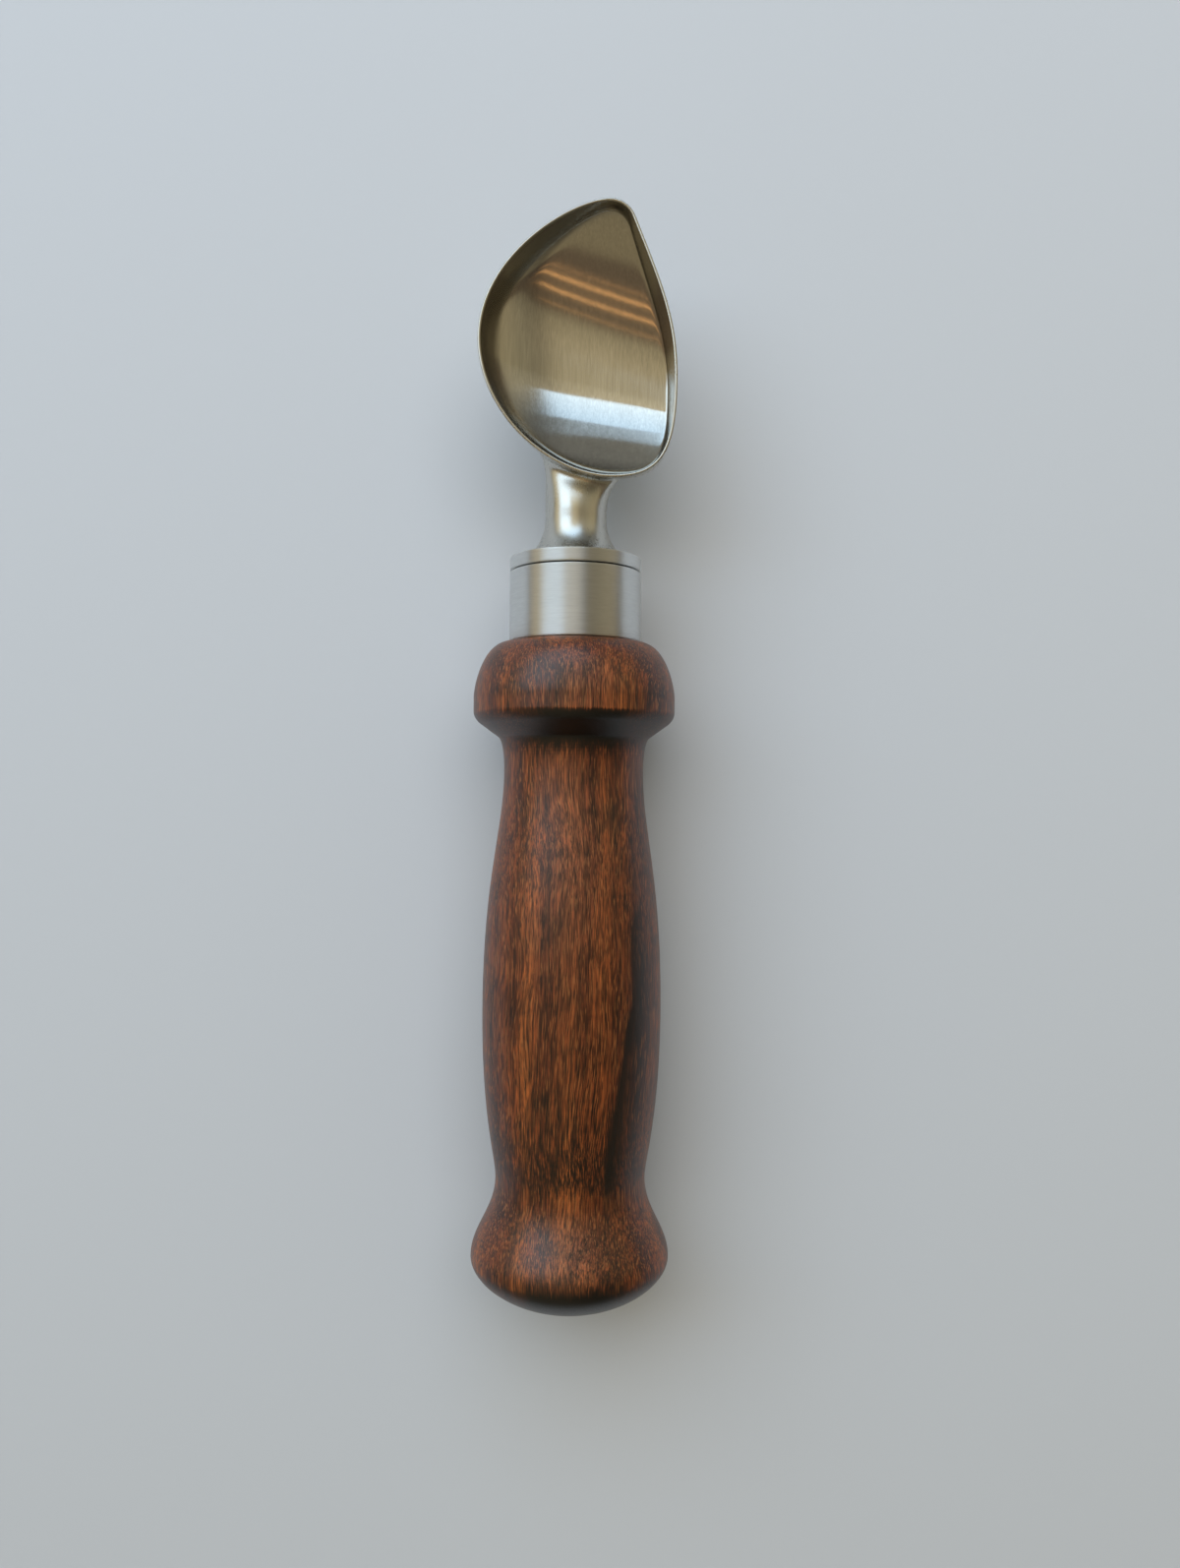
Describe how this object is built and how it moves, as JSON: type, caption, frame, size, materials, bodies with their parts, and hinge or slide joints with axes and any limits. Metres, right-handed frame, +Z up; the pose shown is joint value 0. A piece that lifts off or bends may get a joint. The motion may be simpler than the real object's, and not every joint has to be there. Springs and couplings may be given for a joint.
{
  "type": "ice cream scoop",
  "caption": "Hand ice cream scoop: a lopsided, pointed steel bowl on a short neck screws through a steel collar into a turned wooden handle.",
  "frame": {"origin": "on the table under the middle of the scoop's length and width, with the scoop lying on its handle and the bowl opening upwards", "axes": "+Y runs along the handle's axis towards the bowl's tip, +Z is up out of the bowl, and +X is to the right, the bowl's straighter side"},
  "size_m": [0.0388, 0.209, 0.0389],
  "materials": {
    "handle_wood": "satin",
    "insert_brass": "satin",
    "collar_steel": "satin",
    "stud_steel": "satin",
    "head_steel": "satin"
  },
  "bodies": {
    "handle_body": {"handle": "handle_wood", "threaded_insert": "insert_brass"},
    "collar_body": {"collar": "collar_steel"},
    "head_body": {"scoop_head": "head_steel", "threaded_stud": "stud_steel"}
  },
  "joints": [
    {"name": "collar_travel", "type": "slide", "parent": "handle_body", "child": "collar_body", "axis": [0, 1, 0], "range_m": [0, 0.0141]},
    {"name": "head_unscrew", "type": "hinge", "parent": "collar_body", "child": "head_body", "pos_m": [0, 0.036, 0.01945], "axis": [0, 1, 0], "range_deg": [0, 4050]}
  ],
  "couplings": [
    {"joint": "collar_travel", "follows": "head_unscrew", "m_per_rad": 0.00019894}
  ]
}
